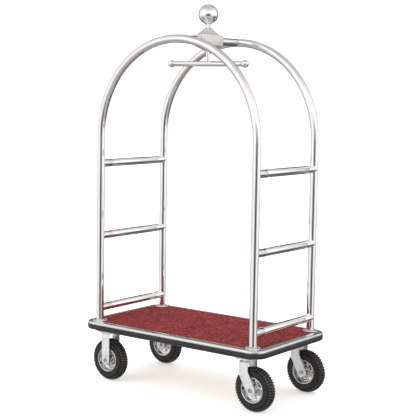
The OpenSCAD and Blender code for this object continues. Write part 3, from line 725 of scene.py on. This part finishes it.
def rim(name, wheel):
    """Two pressed halves, each with four raised lobes between the bolts."""
    both = bmesh.new()
    for side in (1, -1):
        line = smooth_line([(58.2, 24.9), (59.2, 25.9), (58.8, 27.1), (57.2, 27.1), (55.6, 25),
                            (54.7, 21), (54.5, 15), (53.2, 10), (49.6, 6), (44, 4), (36, 3.2),
                            (27, 3.2), (22.4, 4.8), (19.6, 8.6), (18.5, 14), (18.3, 22),
                            (18.1, 27)], 3)
        half = lathe(line, 96, closed=False)
        if sum(f.normal.z for f in half.faces) < 0:
            bmesh.ops.reverse_faces(half, faces=half.faces)
        for v in half.verts:
            r = math.hypot(v.co.x, v.co.y) / MM
            if LOBE_IN < r < LOBE_OUT:
                up = math.sin(math.pi * (r - LOBE_IN) / (LOBE_OUT - LOBE_IN)) ** 2
                lobe = 0.5 + 0.5 * math.cos(LOBES * math.atan2(v.co.y, v.co.x))
                v.co.z += LOBE_RISE * up * lobe * lobe * (3 - 2 * lobe) * MM
        bmesh.ops.solidify(half, geom=half.faces[:], thickness=-1.5 * MM)
        if side < 0:
            bmesh.ops.scale(half, verts=half.verts, vec=(1, 1, -1))
            bmesh.ops.reverse_faces(half, faces=half.faces)
        merge_into(both, half)
    bmesh.ops.recalc_face_normals(both, faces=both.faces)
    place_on_wheel(both, wheel)
    piece(f"rim_{name}_pressed", both, wheel["body"], "rim_chrome", [f"rim_{name}"])


def axle(name, wheel):
    """The axle bolt: a button head with a socket outside, spacers, and a nut inside."""
    line = [(0, 43.5), (4.6, 43.5), (4.9, 47.2), (6.2, 48), (8.4, 46.6), (9.5, 44), (9.6, 41.2),
            (6, 41.1), (6, 36.7), (10, 36.7), (10, 27.3), (6, 27.3), (6, -27.3), (10, -27.3),
            (10, -36.7), (6, -36.7), (6, -50.2), (5.2, -51), (0, -51)]
    bolt = lathe(line, 48, closed=False)
    nut = bmesh.new()
    bmesh.ops.create_cone(nut, cap_ends=True, segments=6, radius1=9.5 * MM, radius2=9.5 * MM,
                          depth=7.6 * MM)
    soften(nut, nut.edges[:], 0.7)
    move(nut, (0, 0, -45 * MM))
    merge_into(bolt, nut)
    turn(bolt, 90, "X")
    if wheel["outward"] > 0:
        turn(bolt, 180, "X")
    move(bolt, wheel["centre"])
    piece(f"axle_{name}_bolt", bolt, wheel["carrier"], "zinc_bolt", [f"axle_{name}"])


def casters():
    """Wheels on their axles, and the plates, forks and bolts that hold them."""
    for name, wheel in WHEELS.items():
        wheel["centre"] = middle(f"tyre_{name}")
        tyre(name, wheel)
        rim(name, wheel)
        axle(name, wheel)
    for row in ("front", "back"):
        swivel = f"swivel_{row}"
        for node, name, body, slot, width in (
                (f"fixed_fork_{row}", f"fixed_fork_{row}_bent", "chassis", "zinc_plate", 0.9),
                (f"swivel_fork_{row}", f"swivel_fork_{row}_bent", swivel, "zinc_plate", 0.9),
                (f"kingpin_{row}", f"kingpin_{row}_eased", swivel, "zinc_bolt", 0.5)):
            eased_copy(node, name, body, slot, width)
    for node, slot, width in (("fixed_plates", "zinc_plate", 0.6),
                              ("swivel_plates", "zinc_plate", 0.6),
                              ("caster_bolts", "zinc_bolt", 0.5)):
        eased_copy(node, f"{node}_eased", "chassis", slot, width)


def tube_ends():
    """Rails and sockets with eased ends, so that each joint shows as a fine line."""
    for node in ("left_rails", "right_rails", "rail_sockets"):
        eased_copy(node, f"{node}_eased", "chassis", "rail_tube", 0.5)


# ---- Studio ----

FLOOR_HALF = 30
FLOOR_GLOW = 0.4
LAMPS_AIM = Vector((0, 0, 0.9))
CAMERA_YAW, CAMERA_DIP, CAMERA_ROLL = 36.81, 5.31, 0.92
CAMERA_PLACE = (3.2631, -4.3621, 1.4750)


def floor():
    """A plain pale floor that glows a little, so that shadows stay soft."""
    bm = bmesh.new()
    bmesh.ops.create_grid(bm, x_segments=1, y_segments=1, size=FLOOR_HALF)
    mesh = bpy.data.meshes.new("studio_floor")
    bm.to_mesh(mesh)
    bm.free()
    paint = Finish("floor_paint", 0, 0.9)
    paint.colour(paint.colours(paint.noise(0.7), (0.3, grey(0.92)), (0.7, grey(0.94))))
    paint.shader.inputs["Emission Color"].default_value = (1, 1, 1, 1)
    paint.shader.inputs["Emission Strength"].default_value = FLOOR_GLOW
    mesh.materials.append(paint.material)
    ground = bpy.data.objects.new("studio_floor", mesh)
    ground.visible_glossy = False  # the studio's own lower half is what the metal mirrors
    bpy.context.scene.collection.objects.link(ground)


def soft_box(name, place, width, height, power):
    """A broad lamp turned to the middle of the cart, left out of reflections."""
    lamp = bpy.data.lights.new(name, "AREA")
    lamp.shape = "RECTANGLE"
    lamp.size, lamp.size_y = width, height
    lamp.energy = power
    shown = bpy.data.objects.new(name, lamp)
    shown.location = place
    aim = LAMPS_AIM - Vector(place)
    shown.rotation_euler = aim.to_track_quat("-Z", "Y").to_euler()
    shown.visible_glossy = False
    bpy.context.scene.collection.objects.link(shown)


LIGHT_LEVEL = 1.12
MIRRORED_LEVEL = 1.3


def studio_walls():
    """An even pale studio for light, and a patterned one for polished metal to mirror.

    The pattern is fixed in the room. Bearings are degrees round from the side where the first
    camera stands, and heights are degrees up from level.
    """
    world = bpy.data.worlds.new("studio")
    bpy.context.scene.world = world
    world.use_nodes = True
    nodes, links = world.node_tree.nodes, world.node_tree.links
    nodes.clear()

    def plug(value, node, at):
        if isinstance(value, (int, float)):
            node.inputs[at].default_value = value
        elif value is not None:
            links.new(value, node.inputs[at])

    def maths(operation, first, second=None):
        node = nodes.new("ShaderNodeMath")
        node.operation = operation
        plug(first, node, 0)
        plug(second, node, 1)
        return node.outputs[0]

    direction = nodes.new("ShaderNodeTexCoord").outputs["Generated"]

    def along(x, y, z):
        """How far the direction looked at points along another."""
        node = nodes.new("ShaderNodeVectorMath")
        node.operation = "DOT_PRODUCT"
        node.inputs[1].default_value = (x, y, z)
        links.new(direction, node.inputs[0])
        return node.outputs["Value"]

    def levels(value, stops):
        """Brightness along a value: each stop is (value, brightness)."""
        low, high = stops[0][0], stops[-1][0]
        ramp = nodes.new("ShaderNodeValToRGB")
        ramp.color_ramp.interpolation = "EASE"
        steps = ramp.color_ramp.elements
        while len(steps) < len(stops):
            steps.new(1)
        for step, (at, level) in zip(steps, stops):
            step.position = (at - low) / (high - low)
            step.color = (level, level, level, 1)
        share = maths("DIVIDE", maths("SUBTRACT", value, low), high - low)
        links.new(share, ramp.inputs["Fac"])
        return ramp.outputs["Color"]

    yaw = math.radians(CAMERA_YAW)
    ahead = along(math.sin(yaw), -math.cos(yaw), 0)
    aside = along(math.cos(yaw), math.sin(yaw), 0)
    bearing = maths("MULTIPLY", maths("ARCTAN2", aside, ahead), 360 / TURN)
    height = maths("MULTIPLY", maths("ARCSINE", along(0, 0, 1)), 360 / TURN)

    def patch(at_bearing, at_height, half_wide, half_tall):
        """Distance from a patch's middle, 1 at its rim."""
        wide = maths("DIVIDE", maths("SUBTRACT", bearing, at_bearing), half_wide)
        tall = maths("DIVIDE", maths("SUBTRACT", height, at_height), half_tall)
        return maths("SQRT", maths("ADD", maths("MULTIPLY", wide, wide),
                                   maths("MULTIPLY", tall, tall)))

    walls = levels(height, [(-90, 0.34), (-45, 0.38), (-22, 0.52), (-10, 0.85), (2, 1.0),
                            (22, 1.0), (40, 0.78), (58, 0.56), (90, 0.50)])
    round_about = levels(bearing, [(-180, 1), (-132, 0.9), (-90, 0.8), (-65, 1), (95, 1),
                                   (125, 0.75), (150, 0.8), (180, 1)])
    behind = maths("ARCCOSINE", maths("MULTIPLY", ahead, -1))
    rim_ring = levels(maths("MULTIPLY", behind, 360 / TURN),
                      [(0, 1), (8, 1), (12, 0.02), (36, 0.05), (54, 0.9), (78, 1), (180, 1)])
    opening = levels(patch(0, -9, 52, 30), [(0, 0.06), (0.22, 0.09), (0.5, 0.42), (0.75, 0.8),
                                            (1, 1)])
    dim_side = levels(patch(106, -28, 56, 25), [(0, 0.2), (0.55, 0.3), (1, 1)])
    window = levels(patch(-62, 32, 26, 16), [(0, 1.5), (0.7, 1.45), (1, 1)])
    seen = maths("MULTIPLY", maths("MULTIPLY", walls, round_about),
                 maths("MULTIPLY", opening, dim_side))
    seen = maths("MULTIPLY", maths("MULTIPLY", seen, rim_ring), window)
    glossy = nodes.new("ShaderNodeLightPath").outputs["Is Glossy Ray"]
    mirrored = maths("MULTIPLY", maths("MULTIPLY", seen, MIRRORED_LEVEL), glossy)
    level = maths("ADD", mirrored, maths("MULTIPLY", LIGHT_LEVEL, maths("SUBTRACT", 1, glossy)))
    light = nodes.new("ShaderNodeBackground")
    light.inputs["Color"].default_value = (1, 0.995, 0.99, 1)
    links.new(level, light.inputs["Strength"])
    out = nodes.new("ShaderNodeOutputWorld")
    links.new(light.outputs[0], out.inputs["Surface"])


def studio_camera():
    """The camera, level with the upper rails and looking along the cart's front right corner."""
    lens = bpy.data.cameras.new("studio_camera")
    lens.sensor_width = 36
    lens.lens = 96.61
    lens.shift_y = -0.04
    camera = bpy.data.objects.new("studio_camera", lens)
    yaw, dip, roll = (math.radians(a) for a in (CAMERA_YAW, CAMERA_DIP, CAMERA_ROLL))
    camera.matrix_world = (Matrix.Translation(CAMERA_PLACE)
                           @ Matrix.Rotation(yaw, 4, "Z")
                           @ Matrix.Rotation(TURN / 4 - dip, 4, "X")
                           @ Matrix.Rotation(roll, 4, "Z"))
    bpy.context.scene.collection.objects.link(camera)
    bpy.context.scene.camera = camera


studio_camera()
dress_cad_nodes()
carpet()
nosing()
bumper()
post_flanges()
crown_block()
flared_cap("roof_cap", "crown_roof", head=(16, 24), lip=1.2)
flared_cap("funnel_cap", "crown_funnel", head=(13, 15), lip=1, hangs=True)
finial_neck()
bar_knobs()
casters()
tube_ends()
floor()
studio_walls()
soft_box("key_box", (-2.6, -4.2, 3.4), 3.2, 2.6, 60)
soft_box("top_box", (0.2, 0.4, 4.6), 3.0, 2.4, 22)
bpy.context.scene.view_settings.view_transform = "Standard"
